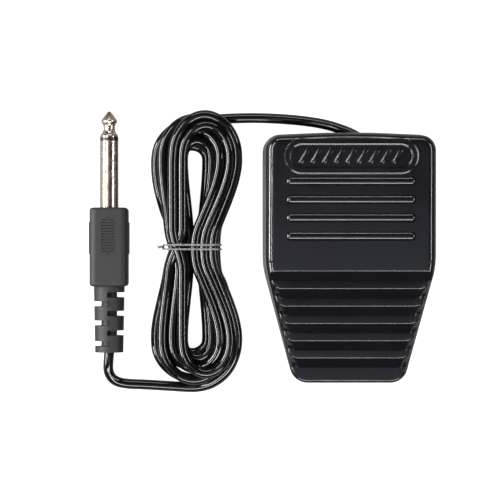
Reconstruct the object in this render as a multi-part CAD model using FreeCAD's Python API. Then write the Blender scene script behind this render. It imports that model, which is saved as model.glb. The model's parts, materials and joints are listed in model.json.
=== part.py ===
"""Momentary foot switch pedal with a tied hank of cord and a 6.35 mm jack plug.

Millimetres, +Z up.  The origin is the bottom centre of the pedal's box, on the surface it stands on.
The cord leaves the heel, +Y, and the ribbed toe points to -Y.
"""
import FreeCAD
import Part

import math
import os

os.makedirs("parts", exist_ok=True)
V = FreeCAD.Vector

# Driving dimensions of the pedal -------------------------------------------------------------
HALF_WIDTH = 30.0
TOE_Y = -43.2
HEEL_CORNER_Y = 42.35
HEEL_MIDDLE_Y = 43.6
HEEL_BOW_RADIUS = 290.0
HEEL_CORNER_RADIUS = 6.5
TOE_CORNER_RADIUS = 6.0
SHOULDER_RADIUS = 30.0
TAPER_SLOPE = 0.271                      # sideways millimetres per millimetre along the toe
SHOULDER_Y = -3.3
WALL = 2.2
CAVITY_INSET = 2.8
SIDE_DRAFT = 0.065                       # inset per millimetre of height above SKIRT_LOW_Z
SKIRT_LOW_Z = 2.0

# Plateau and the six steps down to the toe ---------------------------------------------------
STEP_COUNT = 6
FIRST_EDGE_Y = -4.55
STEP_PITCH = 5.98
RISER_RUN = 3.5
PLATEAU_FRONT_Z = 24.0
STEP_DROP = 2.6
STEP_CORNER_RADIUS = 3.75
STEP_SIDE_INSET = 0.5
STEP_EDGE_RADIUS = 0.8
TOE_EDGE_RADIUS = 1.2
PLATEAU_TILT = math.radians(3.0)
PLATEAU_EDGE_RADIUS = 2.8
RAMP_BACK_Y = -1.2

# Raised features of the plateau, measured along its slope -------------------------------------
BAR_YS = (7.1, 13.3, 19.4, 25.6)
BAR_LENGTH = 43.7
BAR_RADIUS = 1.9
BAR_SINK = 1.1
BADGE_Y = 34.1
BADGE_OUTER = (44.8, 11.7)
BADGE_INNER = (41.0, 7.9)
BADGE_RISE = 0.5
BADGE_RECESS = 0.35
BADGE_MARK_COUNT = 9
BADGE_MARK_PITCH = 3.9
BADGE_MARK_WIDTH = 1.1
BADGE_MARK_LENGTH = 5.2
BADGE_MARK_SLANT = 30.0

# Skirt, base and hinge ------------------------------------------------------------------------
SKIRT_TOE_Z = 4.4
SKIRT_HEEL_Z = 8.6
NOTCH_HALF_WIDTH = 7.0
NOTCH_TOP_Z = 14.5
NOTCH_SCOOP = 0.9
FOOT_RADIUS = 5.0
FOOT_HEIGHT = 2.0
FOOT_PLACES = ((-22.0, 33.0), (22.0, 33.0), (-14.5, -33.0), (14.5, -33.0))
BASE_Z = 1.2
FLOOR_Z = 3.6
BASE_INSET = 0.3
RIM_INSET = 3.4
RIM_THICKNESS = 1.8
RIM_TOE_Z = 5.0
RIM_SLOPE = 0.1
PIVOT_Y = -29.2
PIVOT_Z = 6.2
HINGE_PIN_RADIUS = 1.25
HINGE_CLEARANCE = 0.05
HINGE_EAR_RADIUS = 2.1
HINGE_PIN_HALF = 16.6
COVER_EAR_X = (10.0, 12.6)
BASE_EAR_XS = ((7.0, 9.6), (13.0, 15.2))
CLIP_X = (15.5, 16.1)
CLIP_RADIUS = 2.0

# Springs, stops and hooks ---------------------------------------------------------------------
SPRING_PLACE = (18.0, 26.0)
SPRING_RADIUS = 4.05
SPRING_WIRE_RADIUS = 0.45
SPRING_TURNS = 6.0
SPRING_POST_RADIUS = 3.1
SPRING_POST_HEIGHT = 4.4
STOP_PLACE = (21.0, 33.6)
STOP_RADIUS = 2.5
STOP_PAD_HEIGHT = 1.6
STOP_POST_Z = 8.7
HOOK_X = (12.0, 16.0)

# Microswitch ----------------------------------------------------------------------------------
CASE_HALF_LENGTH = 9.9
CASE_Y = (8.2, 14.6)
CASE_Z = (6.8, 17.0)
CASE_SCREW_X = 4.75
CASE_SCREW_Z = 9.7
SCREW_RADIUS = 1.1
SCREW_HEAD_RADIUS = 2.0
BRACKET_THICKNESS = 2.0
BRACKET_TOP_Z = 16.6
LEVER_PIVOT_X = -8.0
LEVER_PIVOT_Z = 17.75
LEVER_TILT = math.radians(10.0)
LEVER_LENGTH = 17.5
LEVER_THICKNESS = 0.3
LEVER_PIN_RADIUS = 0.3
LEVER_BARREL_RADIUS = 0.6
PLUNGER_X = -3.5
PLUNGER_TOP_Z = 18.2
PLUNGER_RADIUS = 0.8
TAPPET_X = (7.6, 8.6)
TAPPET_Z = 21.1
TERMINAL_XS = (-7.5, 0.0, 7.5)

# Cord and plug --------------------------------------------------------------------------------
CORD_RADIUS = 1.75
CORD_EXIT_Z = 7.4
GROMMET_X = 4.9
GROMMET_RADIUS = 3.4
GROMMET_RELIEF_Y = 41.3
CLAMP_X = 5.4
CLAMP_Y = (28.6, 32.0)
CLAMP_HALF = 7.2
CLAMP_SCREW_OFFSET = 5.0
PEDAL_TAIL = [
    (5.6, 25.6, 7.4), (5.3, 32.6, 7.4), (4.9, 38.0, 7.4), (3.9, 40.7, 7.3), (1.6, 42.3, 7.1),
    (-2.2, 43.9, 6.5), (-7.6, 45.8, 5.0), (-15.4, 47.2, 3.1), (-25.5, 48.1, 1.95),
    (-36.5, 48.3, 1.75), (-44.0, 47.9, 1.75),
]
PLUG_TAIL = [
    (-55.0, -45.1, 1.75), (-62.5, -44.6, 1.75), (-70.5, -44.1, 1.85), (-76.8, -43.9, 2.3),
    (-80.8, -42.9, 3.2), (-82.8, -40.3, 4.5), (-83.0, -37.0, 5.8), (-82.5, -32.7, 6.5),
]
HANK_X = -52.7
HANK_Y = 2.7
HANK_LOBE_OFFSET = 28.3
HANK_LOBE = (15.7, 19.8)
HANK_WAIST_X = -54.6
HANK_WAIST_HALF = 10.0
HANK_SHOULDER_HALF = 13.2
HANK_SHOULDER_Y = 19.0
HANK_HEIGHT = 10.8
HANK_EDGE = 2.6
TIE_Y = 3.3
TIE_WIRE_RADIUS = 0.4
TIE_TURN_PITCH = 1.1
TIE_CORNER = 3.0
PLUG_X = -82.5
PLUG_Z = 6.5
PLUG_TIP_Y = 50.2
PLUG_SHOULDER_Y = 17.06
BARREL_RADIUS = 3.175
TIP_LENGTH = 9.0
FLARE_START = 8.5
INSULATOR_END = 10.1
SLEEVE_CORE_RADIUS = 2.6
TIP_ROD_RADIUS = 1.0
INSULATOR_TUBE_RADIUS = 1.6
SLEEVE_DEPTH = 6.0
HANDLE_END_Y = -10.0
HANDLE_HALF = 6.5
HANDLE_CORNER = 2.4
PAD_HALF = 6.8
PAD_Y = (1.1, 12.1)
GRIP_Y = (1.1, 13.8)
GRIP_HALF_WIDTH = 2.4
GRIP_DEPTH = 0.45
GRIP_RIB_COUNT = 13
BOOT_END_Y = -32.7
BOOT_RADII = (5.3, 4.85)
BOOT_CORE_RADIUS = 2.7
BOOT_SLOT = 1.8
BOOT_SLOTS_RIGHT = (-12.9, -19.3, -26.0)
BOOT_SLOTS_LEFT = (-16.0, -22.6, -29.7)


# Shape helpers --------------------------------------------------------------------------------
def box(x0, x1, y0, y1, z0, z1):
    """Box between two corners."""
    return Part.makeBox(x1 - x0, y1 - y0, z1 - z0, V(x0, y0, z0))


def rod(radius, start, end):
    """Cylinder from one point to another."""
    start = V(*start)
    end = V(*end)
    return Part.makeCylinder(radius, (end - start).Length, start, end - start)


def joined(shapes):
    """One solid from overlapping shapes."""
    first = shapes[0]
    return first.multiFuse(shapes[1:]).removeSplitter()


def rounded_polygon(corners, z):
    """Closed wire through (x, y, radius) corners, each turned by an arc of its radius."""
    edges = []
    starts = []
    ends = []
    count = len(corners)
    for i in range(count):
        x, y, radius = corners[i]
        here = V(x, y, z)
        back = V(corners[i - 1][0], corners[i - 1][1], z) - here
        ahead = V(corners[(i + 1) % count][0], corners[(i + 1) % count][1], z) - here
        half_angle = back.getAngle(ahead) / 2.0
        tangent = radius / math.tan(half_angle)
        bisector = back.normalize() + ahead.normalize()
        middle = here + bisector.normalize() * (radius / math.sin(half_angle) - radius)
        starts.append(here + back * tangent)
        ends.append(here + ahead * tangent)
        edges.append(Part.Arc(starts[-1], middle, ends[-1]).toShape())
    wire_edges = []
    for i in range(count):
        wire_edges.append(edges[i])
        wire_edges.append(Part.LineSegment(ends[i], starts[(i + 1) % count]).toShape())
    return Part.Wire(wire_edges)


def prism(wire, height):
    """Solid straight up from a flat wire."""
    return Part.Face(wire).extrude(V(0, 0, height))


def below_plane(y, z, slope):
    """Block under the plane that passes (y, z) and climbs by slope towards +Y."""
    reach = 200.0
    profile = Part.makePolygon([
        V(-reach, y - reach, z - slope * reach), V(-reach, y + reach, z + slope * reach),
        V(-reach, y + reach, -reach), V(-reach, y - reach, -reach),
        V(-reach, y - reach, z - slope * reach),
    ])
    return Part.Face(profile).extrude(V(2 * reach, 0, 0))


def outline(inset, z, front_y=TOE_Y, front_radius=TOE_CORNER_RADIUS, shoulder=SHOULDER_RADIUS):
    """The pedal's plan shape, shrunk by inset and cut off at front_y."""
    side = HALF_WIDTH - inset
    slant = inset * math.hypot(1.0, TAPER_SLOPE)
    shoulder_y = SHOULDER_Y + (slant - inset) / TAPER_SLOPE
    heel_radius = max(HEEL_CORNER_RADIUS - inset, 1.0)
    if shoulder:
        front_x = side + TAPER_SLOPE * (front_y - shoulder_y)
    else:
        front_x = side
    right = [(side, HEEL_CORNER_Y - inset, heel_radius)]
    if shoulder:
        right.append((side, shoulder_y, shoulder))
    right.append((front_x, front_y, front_radius))
    left = [(-x, y, radius) for x, y, radius in reversed(right)]
    heel = [(0.0, HEEL_MIDDLE_Y - inset, HEEL_BOW_RADIUS)]
    return rounded_polygon(heel + right + left, z)


def draft(z):
    """How far the drafted side wall has moved in at height z."""
    return SIDE_DRAFT * (z - SKIRT_LOW_Z)


def step_top(index):
    """Height of a step's tread; index 0 is the plateau's front edge."""
    return PLATEAU_FRONT_Z - index * STEP_DROP


def crease_y(index):
    """Where the riser above a step's tread ends on it."""
    return FIRST_EDGE_Y - (index - 1) * STEP_PITCH - RISER_RUN


def route_wire(points, closed_name):
    """Straight runs joined by tangent arcs, as large as their runs allow; prints the radii."""
    points = [V(*p) for p in points]
    edges = []
    radii = []
    last = points[0]
    for i in range(1, len(points) - 1):
        back = points[i - 1] - points[i]
        ahead = points[i + 1] - points[i]
        tangent = 0.45 * min(back.Length, ahead.Length)
        half_angle = back.getAngle(ahead) / 2.0
        radius = tangent * math.tan(half_angle)
        start = points[i] + back.normalize() * tangent
        end = points[i] + ahead.normalize() * tangent
        bisector = (back + ahead).normalize()
        middle = points[i] + bisector * (radius / math.sin(half_angle) - radius)
        edges.append(Part.LineSegment(last, start).toShape())
        edges.append(Part.Arc(start, middle, end).toShape())
        radii.append(round(radius, 1))
        last = end
    edges.append(Part.LineSegment(last, points[-1]).toShape())
    print(closed_name, "bend radii", radii)
    return Part.Wire(edges)


def tube_along(points, radius, name):
    """Solid round cord along a route, with its volume compared with section times length."""
    path = route_wire(points, name)
    direction = V(*points[1]) - V(*points[0])
    section = Part.Wire(Part.Circle(V(*points[0]), direction, radius).toShape())
    solid = path.makePipeShell([section], True, False)
    expected = math.pi * radius ** 2 * path.Length
    print(name, "length", round(path.Length, 1), "volume ratio", round(solid.Volume / expected, 4))
    return solid


def on_plateau(shape):
    """Lay a shape drawn about z = 0 on the sloping plateau; its y is measured on the slope."""
    shape = shape.copy()
    shape.translate(V(0, -FIRST_EDGE_Y, 0))
    shape.rotate(V(0, 0, 0), V(1, 0, 0), math.degrees(PLATEAU_TILT))
    shape.translate(V(0, FIRST_EDGE_Y, PLATEAU_FRONT_Z))
    return shape


def plateau_z(y):
    """Height of the plateau's top face."""
    return PLATEAU_FRONT_Z + (y - FIRST_EDGE_Y) * math.tan(PLATEAU_TILT)


def stadium(length, width, y, z, height):
    """Bar with half-round ends, along X."""
    radius = width / 2.0
    straight = length / 2.0 - radius
    left_end = Part.makeCylinder(radius, height, V(-straight, y, z))
    right_end = Part.makeCylinder(radius, height, V(straight, y, z))
    return joined([box(-straight, straight, y - radius, y + radius, z, z + height), left_end, right_end])


def screw(tip, head_base, shank, head_radius, head_height):
    """Pan-head screw from its tip to the underside of its head, with a cross recess."""
    tip = V(*tip)
    head_base = V(*head_base)
    axis = (head_base - tip).normalize()
    body = rod(shank, tip, head_base + axis * 0.2)
    head = rod(head_radius, head_base, head_base + axis * head_height)
    solid = joined([body, head])
    across = axis.cross(V(1, 0, 0)) if abs(axis.x) < 0.5 else axis.cross(V(0, 1, 0))
    recess = Part.makeBox(2.0 * head_radius * 0.62, 0.5, head_height)
    recess.translate(V(-head_radius * 0.62, -0.25, 0))
    for turn in (0.0, 90.0):
        cutter = recess.copy()
        cutter.rotate(V(0, 0, 0), V(0, 0, 1), turn)
        cutter.Placement = FreeCAD.Placement(
            head_base + axis * (head_height * 0.45), FreeCAD.Rotation(V(0, 0, 1), axis)
        ).multiply(cutter.Placement)
        solid = solid.cut(cutter)
    return solid


# The rocking cover ----------------------------------------------------------------------------
def step_slab(index):
    """One layer of the stepped toe: a flat tread with a sloping riser and a rounded upper edge."""
    top_z = step_top(index)
    bottom_z = step_top(index + 1)
    edge_y = FIRST_EDGE_Y - index * STEP_PITCH
    top_inset = draft(top_z) + STEP_SIDE_INSET
    bottom_inset = draft(bottom_z) + STEP_SIDE_INSET
    shoulder = 18.0 if index == 1 else SHOULDER_RADIUS
    top = outline(top_inset, top_z, edge_y, STEP_CORNER_RADIUS, shoulder)
    bottom = outline(bottom_inset, bottom_z, edge_y - RISER_RUN, STEP_CORNER_RADIUS + 1.2, shoulder)
    slab = Part.makeLoft([top, bottom], True, True)
    upper = [edge for edge in slab.Edges if edge.BoundBox.ZMin > top_z - 0.01]
    return slab.makeFillet(STEP_EDGE_RADIUS, upper)


def drafted_block(top_z):
    """The pedal's whole plan shape, drawn in towards its top."""
    low = outline(draft(SKIRT_LOW_Z), SKIRT_LOW_Z)
    return Part.makeLoft([low, outline(draft(top_z), top_z)], True, True)


def rim_edges(block, height_at):
    """Edges round the upper face, whose middles lie at the height that height_at gives for their y."""
    rim = []
    for edge in block.Edges:
        centre = edge.CenterOfMass
        cut_end = edge.BoundBox.XLength > 40.0 and abs(centre.y) < 5.0
        if abs(centre.z - height_at(centre.y)) < 0.3 and not cut_end:
            rim.append(edge)
    return rim


def ramp_z(y):
    """Height of the plane through the creases of the steps."""
    return step_top(1) + (y - crease_y(1)) * STEP_DROP / STEP_PITCH


def ramp_block():
    """Body under the steps, with its rim rounded like the plateau's."""
    reach = HALF_WIDTH + 1.0
    block = drafted_block(plateau_z(HEEL_MIDDLE_Y) + 2.0)
    block = block.common(box(-reach, reach, TOE_Y - 1.0, 4.0, 0.0, 40.0))
    block = block.common(below_plane(crease_y(1), step_top(1), STEP_DROP / STEP_PITCH))
    block = block.makeFillet(PLATEAU_EDGE_RADIUS, rim_edges(block, ramp_z))
    block = block.common(below_plane(FIRST_EDGE_Y, PLATEAU_FRONT_Z, math.tan(PLATEAU_TILT)))
    return block.common(box(-reach, reach, TOE_Y - 1.0, RAMP_BACK_Y, 0.0, 40.0))


def plateau_block():
    """The thick heel layer, sloped on top, with its rim rounded and its front lip sloping down."""
    reach = HALF_WIDTH + 1.0
    top_z = plateau_z(HEEL_MIDDLE_Y) + 2.0
    block = drafted_block(top_z)
    block = block.common(below_plane(FIRST_EDGE_Y, PLATEAU_FRONT_Z, math.tan(PLATEAU_TILT)))
    block = block.makeFillet(PLATEAU_EDGE_RADIUS, rim_edges(block, plateau_z))
    heel = block.common(box(-reach, reach, RAMP_BACK_Y, HEEL_MIDDLE_Y + 1.0, 0.0, 40.0))
    wide = -0.15
    top = outline(wide, top_z, FIRST_EDGE_Y, STEP_CORNER_RADIUS, None)
    middle = outline(wide, PLATEAU_FRONT_Z, FIRST_EDGE_Y, STEP_CORNER_RADIUS, None)
    bottom = outline(wide, step_top(1), FIRST_EDGE_Y - RISER_RUN, STEP_CORNER_RADIUS + 1.2, None)
    upper = Part.makeLoft([middle, top], True, True)
    lower = Part.makeLoft([bottom, middle], True, True)
    lip = block.common(upper.fuse(lower))
    front = []
    for edge in lip.Edges:
        span = edge.BoundBox
        if abs(edge.CenterOfMass.z - PLATEAU_FRONT_Z) < 0.3 and span.XLength > 30.0 and span.YMin < 0.0:
            front.append(edge)
    lip = lip.makeFillet(STEP_EDGE_RADIUS, front)
    return joined([heel, lip])


def toe_plate():
    """Low plate in front of the last riser."""
    plate = drafted_block(step_top(STEP_COUNT))
    plate = plate.makeFillet(TOE_EDGE_RADIUS,
                             [e for e in plate.Edges if e.BoundBox.ZMin > SKIRT_LOW_Z + 1.0])
    return plate.common(box(-HALF_WIDTH, HALF_WIDTH, TOE_Y - 1.0, crease_y(STEP_COUNT) + 0.3, 0.0, 20.0))


def cover_cavity():
    """Space inside the cover, one level for each layer of the top."""
    levels = []
    plateau = prism(outline(CAVITY_INSET, -1.0, FIRST_EDGE_Y + 1.2, 2.0, None), 40.0)
    inner_z = PLATEAU_FRONT_Z - WALL
    levels.append(plateau.common(below_plane(FIRST_EDGE_Y, inner_z, math.tan(PLATEAU_TILT))))
    for index in range(1, STEP_COUNT):
        edge_y = FIRST_EDGE_Y - index * STEP_PITCH + 1.2
        shoulder = 12.0 if index == 1 else SHOULDER_RADIUS
        wire = outline(CAVITY_INSET, -1.0, edge_y, 2.0, shoulder)
        levels.append(prism(wire, step_top(index) - WALL + 1.0))
    wire = outline(CAVITY_INSET, -1.0, TOE_Y + CAVITY_INSET, TOE_CORNER_RADIUS - CAVITY_INSET)
    levels.append(prism(wire, step_top(STEP_COUNT) - WALL + 1.0))
    return joined(levels)


def plateau_features():
    """Raised bars and the framed badge with plain slanted marks, and the badge's recess."""
    raised = []
    half = BAR_LENGTH / 2.0 - math.sqrt(BAR_RADIUS ** 2 - BAR_SINK ** 2)
    for y in BAR_YS:
        bar = [rod(BAR_RADIUS, (-half, y, -BAR_SINK), (half, y, -BAR_SINK))]
        for x in (-half, half):
            bar.append(Part.makeSphere(BAR_RADIUS, V(x, y, -BAR_SINK)))
        raised.append(on_plateau(joined(bar)))
    frame = stadium(BADGE_OUTER[0], BADGE_OUTER[1], BADGE_Y, -1.0, 1.0 + BADGE_RISE)
    frame = frame.cut(stadium(BADGE_INNER[0], BADGE_INNER[1], BADGE_Y, -2.0, 4.0))
    raised.append(on_plateau(frame))
    recess = on_plateau(stadium(BADGE_INNER[0], BADGE_INNER[1], BADGE_Y, -BADGE_RECESS, 3.0))
    for i in range(BADGE_MARK_COUNT):
        x = (i - (BADGE_MARK_COUNT - 1) / 2.0) * BADGE_MARK_PITCH
        mark = box(-BADGE_MARK_WIDTH / 2.0, BADGE_MARK_WIDTH / 2.0, -BADGE_MARK_LENGTH / 2.0,
                   BADGE_MARK_LENGTH / 2.0, -1.0, 0.2)
        mark.rotate(V(0, 0, 0), V(0, 0, 1), -BADGE_MARK_SLANT)
        mark.translate(V(x, BADGE_Y, 0))
        raised.append(on_plateau(mark))
    return raised, recess


def pedal_cover():
    """Moulded rocking cover with its ears, spring bosses, stop posts, hooks and switch tappet."""
    layers = [ramp_block(), plateau_block(), toe_plate()]
    for index in range(1, STEP_COUNT):
        layers.append(step_slab(index))
    shell = joined(layers)
    raised, recess = plateau_features()
    shell = shell.cut(recess)
    shell = joined([shell] + raised)
    cavity = cover_cavity()
    skirt_slope = (SKIRT_HEEL_Z - SKIRT_TOE_Z) / (HEEL_MIDDLE_Y - TOE_Y)
    shell = shell.cut(cavity).cut(below_plane(TOE_Y, SKIRT_TOE_Z, skirt_slope))
    shell = shell.cut(cord_notch() + [grommet_relief()])
    inner = []
    for side in (-1.0, 1.0):
        x0, x1 = sorted((side * COVER_EAR_X[0], side * COVER_EAR_X[1]))
        web_top = step_top(5) - WALL + 0.5
        ear = rod(HINGE_EAR_RADIUS, (x0, PIVOT_Y, PIVOT_Z), (x1, PIVOT_Y, PIVOT_Z))
        web = box(x0, x1, PIVOT_Y - HINGE_EAR_RADIUS, PIVOT_Y + HINGE_EAR_RADIUS, PIVOT_Z, web_top)
        inner.append(joined([ear, web]))
        x, y = side * SPRING_PLACE[0], SPRING_PLACE[1]
        ceiling = plateau_z(y) - WALL
        inner.append(rod(SPRING_POST_RADIUS, (x, y, ceiling - SPRING_POST_HEIGHT), (x, y, ceiling + 0.6)))
        x, y = side * STOP_PLACE[0], STOP_PLACE[1]
        inner.append(rod(STOP_RADIUS, (x, y, STOP_POST_Z), (x, y, plateau_z(y) - WALL + 0.6)))
        x0, x1 = sorted((side * HOOK_X[0], side * HOOK_X[1]))
        stem = box(x0, x1, 34.2, 36.0, 8.6, plateau_z(35.0) - WALL + 0.6)
        barb = box(x0, x1, 35.5, 37.2, 8.6, 10.3)
        inner.append(joined([stem, barb]))
    tappet_y = (CASE_Y[0] + 1.2, CASE_Y[1] - 1.2)
    tappet_top = plateau_z(tappet_y[0]) - WALL + 0.6
    inner.append(box(TAPPET_X[0], TAPPET_X[1], tappet_y[0], tappet_y[1], TAPPET_Z, tappet_top))
    cover = joined([shell] + inner)
    bore = rod(HINGE_PIN_RADIUS + HINGE_CLEARANCE, (-20, PIVOT_Y, PIVOT_Z), (20, PIVOT_Y, PIVOT_Z))
    return cover.cut(bore)


def cord_notch():
    """Arched opening in the heel of the skirt, with a shallow scoop above it."""
    arch_z = NOTCH_TOP_Z - NOTCH_HALF_WIDTH * 0.6
    opening = box(-NOTCH_HALF_WIDTH, NOTCH_HALF_WIDTH, 40.0, 46.0, 0.0, arch_z)
    crown = Part.makeCylinder(1.0, 6.0, V(0, 0, 0), V(0, 1, 0))
    stretch = FreeCAD.Matrix()
    stretch.scale(NOTCH_HALF_WIDTH, 1.0, NOTCH_TOP_Z - arch_z)
    crown = crown.transformGeometry(stretch)
    crown.translate(V(0, 40.0, arch_z))
    scoop_radius = 24.0
    scoop = Part.makeCylinder(scoop_radius, 40.0, V(0, HEEL_MIDDLE_Y - 0.25 + scoop_radius - NOTCH_SCOOP, 0))
    return [opening, crown, scoop]


def grommet_relief():
    """Pocket inside the heel wall that clears the cord's grommet as the cover rocks."""
    half = GROMMET_RADIUS + 0.6
    return box(GROMMET_X - half, GROMMET_X + half, 38.0, GROMMET_RELIEF_Y, 0.0,
               CORD_EXIT_Z + GROMMET_RADIUS + 4.4)


# The base and what is fixed in it -------------------------------------------------------------
def base_tray():
    """Moulded base: floor, raised rim, hinge ears, spring posts, switch bracket and clamp seat."""
    floor = prism(outline(BASE_INSET, BASE_Z), FLOOR_Z - BASE_Z)
    rim = prism(outline(RIM_INSET, FLOOR_Z - 0.2, TOE_Y + RIM_INSET, TOE_CORNER_RADIUS - RIM_INSET), 14.0)
    rim_inner = RIM_INSET + RIM_THICKNESS
    hollow = prism(outline(rim_inner, 0.0, TOE_Y + rim_inner, TOE_CORNER_RADIUS - rim_inner), 30.0)
    rim = rim.cut(hollow).common(below_plane(TOE_Y + RIM_INSET, RIM_TOE_Z, RIM_SLOPE))
    pieces = [floor, rim]
    for side in (-1.0, 1.0):
        for near, far in BASE_EAR_XS:
            x0, x1 = sorted((side * near, side * far))
            ear = rod(HINGE_EAR_RADIUS, (x0, PIVOT_Y, PIVOT_Z), (x1, PIVOT_Y, PIVOT_Z))
            web = box(x0, x1, PIVOT_Y - HINGE_EAR_RADIUS, PIVOT_Y + HINGE_EAR_RADIUS, FLOOR_Z - 0.2, PIVOT_Z)
            pieces.append(joined([ear, web]))
        x, y = side * SPRING_PLACE[0], SPRING_PLACE[1]
        pieces.append(rod(SPRING_POST_RADIUS, (x, y, FLOOR_Z - 0.2), (x, y, FLOOR_Z + SPRING_POST_HEIGHT)))
        x0, x1 = sorted((side * (HOOK_X[0] - 0.6), side * (HOOK_X[1] + 0.6)))
        pieces.append(box(x0, x1, 36.6, 38.4, 10.6, 12.2))
    bracket_y = (CASE_Y[1], CASE_Y[1] + BRACKET_THICKNESS)
    bracket = box(-CASE_HALF_LENGTH, CASE_HALF_LENGTH, bracket_y[0], bracket_y[1], FLOOR_Z - 0.2,
                  BRACKET_TOP_Z)
    pieces.append(bracket.cut(box(-1.5, 8.6, bracket_y[0] - 1, bracket_y[1] + 1, FLOOR_Z, 6.6)))
    seat_z = CORD_EXIT_Z - CORD_RADIUS
    pieces.append(box(CLAMP_X - CLAMP_HALF, CLAMP_X + CLAMP_HALF, CLAMP_Y[0], CLAMP_Y[1], FLOOR_Z - 0.2,
                      seat_z))
    tray = joined(pieces)
    cuts = []
    for x, y in FOOT_PLACES:
        cuts.append(rod(FOOT_RADIUS + 0.05, (x, y, 0.0), (x, y, FOOT_HEIGHT)))
    cuts.append(rod(HINGE_PIN_RADIUS, (-20, PIVOT_Y, PIVOT_Z), (20, PIVOT_Y, PIVOT_Z)))
    cuts.append(rod(GROMMET_RADIUS - 0.6, (GROMMET_X, 36.0, CORD_EXIT_Z), (GROMMET_X, 41.0, CORD_EXIT_Z)))
    for side in (-1.0, 1.0):
        x = side * CASE_SCREW_X
        cuts.append(rod(SCREW_RADIUS, (x, CASE_Y[1] - 1, CASE_SCREW_Z), (x, bracket_y[1] + 1, CASE_SCREW_Z)))
        x = CLAMP_X + side * CLAMP_SCREW_OFFSET
        cuts.append(rod(SCREW_RADIUS, (x, 30.3, BASE_Z + 0.8), (x, 30.3, seat_z + 1)))
    return tray.cut(cuts)


def rubber_feet():
    """Four glued rubber discs with a softened lower edge."""
    feet = []
    for x, y in FOOT_PLACES:
        foot = rod(FOOT_RADIUS, (x, y, 0.0), (x, y, FOOT_HEIGHT))
        lower = [edge for edge in foot.Edges if edge.BoundBox.ZMax < 0.01]
        feet.append(foot.makeChamfer(0.5, lower))
    return feet


def hinge_pin():
    """Steel pivot rod with a groove near each end for its clip."""
    pin = rod(HINGE_PIN_RADIUS, (-HINGE_PIN_HALF, PIVOT_Y, PIVOT_Z), (HINGE_PIN_HALF, PIVOT_Y, PIVOT_Z))
    for side in (-1.0, 1.0):
        x0, x1 = sorted((side * CLIP_X[0], side * CLIP_X[1]))
        ring = rod(3.0, (x0, PIVOT_Y, PIVOT_Z), (x1, PIVOT_Y, PIVOT_Z))
        ring = ring.cut(rod(0.9, (x0, PIVOT_Y, PIVOT_Z), (x1, PIVOT_Y, PIVOT_Z)))
        pin = pin.cut(ring)
    return pin


def pin_clips():
    """Two spring-steel E clips in the grooves of the pivot rod."""
    clips = []
    for side in (-1.0, 1.0):
        x0, x1 = sorted((side * (CLIP_X[0] + 0.05), side * (CLIP_X[1] - 0.05)))
        clip = rod(CLIP_RADIUS, (x0, PIVOT_Y, PIVOT_Z), (x1, PIVOT_Y, PIVOT_Z))
        clip = clip.cut(rod(0.9, (x0 - 1, PIVOT_Y, PIVOT_Z), (x1 + 1, PIVOT_Y, PIVOT_Z)))
        mouth = box(x0 - 1, x1 + 1, PIVOT_Y - 0.8, PIVOT_Y + 0.8, PIVOT_Z, PIVOT_Z + 3.0)
        clips.append(clip.cut(mouth))
    return Part.makeCompound(clips)


def return_spring(side):
    """Compression coil between the base post and the boss of the cover."""
    x, y = side * SPRING_PLACE[0], SPRING_PLACE[1]
    bottom = FLOOR_Z + SPRING_WIRE_RADIUS + 0.05
    tilt_room = SPRING_RADIUS * math.tan(PLATEAU_TILT)
    top = plateau_z(y) - WALL - tilt_room - SPRING_WIRE_RADIUS - 0.1
    helix = Part.makeHelix((top - bottom) / SPRING_TURNS, top - bottom, SPRING_RADIUS)
    section = Part.Wire(Part.Circle(V(SPRING_RADIUS, 0, 0), V(0, 1, 0), SPRING_WIRE_RADIUS).toShape())
    coil = Part.Wire(helix).makePipeShell([section], True, True)
    coil.translate(V(x, y, bottom))
    return coil


def stop_pads():
    """Two small rubber pads that the cover's stop posts land on."""
    pads = []
    for side in (-1.0, 1.0):
        x, y = side * STOP_PLACE[0], STOP_PLACE[1]
        pads.append(rod(STOP_RADIUS + 0.4, (x, y, FLOOR_Z), (x, y, FLOOR_Z + STOP_PAD_HEIGHT)))
    return Part.makeCompound(pads)


def cord_grommet():
    """Rubber sleeve, flanged on both sides of the rim, that the cord leaves through."""
    inner_y = 36.9
    outer_y = 40.7
    flange = 0.9
    neck = GROMMET_RADIUS - 0.6
    body = joined([
        rod(neck, (GROMMET_X, inner_y, CORD_EXIT_Z), (GROMMET_X, outer_y, CORD_EXIT_Z)),
        rod(GROMMET_RADIUS, (GROMMET_X, inner_y, CORD_EXIT_Z), (GROMMET_X, inner_y + flange, CORD_EXIT_Z)),
        rod(GROMMET_RADIUS, (GROMMET_X, outer_y - flange + 0.15, CORD_EXIT_Z),
            (GROMMET_X, outer_y, CORD_EXIT_Z)),
    ])
    bore = rod(CORD_RADIUS + 0.05, (5.2, inner_y - 2, CORD_EXIT_Z), (4.6, outer_y + 2, CORD_EXIT_Z))
    return body.cut(bore)


def cord_clamp():
    """Saddle that holds the cord's jacket down on its seat."""
    seat_z = CORD_EXIT_Z - CORD_RADIUS
    strap = box(CLAMP_X - CLAMP_HALF, CLAMP_X + CLAMP_HALF, CLAMP_Y[0], CLAMP_Y[1], seat_z, seat_z + 1.4)
    hump = rod(CORD_RADIUS + 1.3, (CLAMP_X, CLAMP_Y[0], CORD_EXIT_Z), (CLAMP_X, CLAMP_Y[1], CORD_EXIT_Z))
    hump = hump.common(box(0, 12, 20, 40, seat_z, 14))
    groove = rod(CORD_RADIUS + 0.1, (CLAMP_X, CLAMP_Y[0] - 1, CORD_EXIT_Z),
                 (CLAMP_X, CLAMP_Y[1] + 1, CORD_EXIT_Z))
    strap = joined([strap, hump]).cut(groove)
    for side in (-1.0, 1.0):
        x = CLAMP_X + side * CLAMP_SCREW_OFFSET
        strap = strap.cut(rod(SCREW_RADIUS, (x, 30.3, seat_z - 1), (x, 30.3, seat_z + 3)))
    return strap


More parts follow.
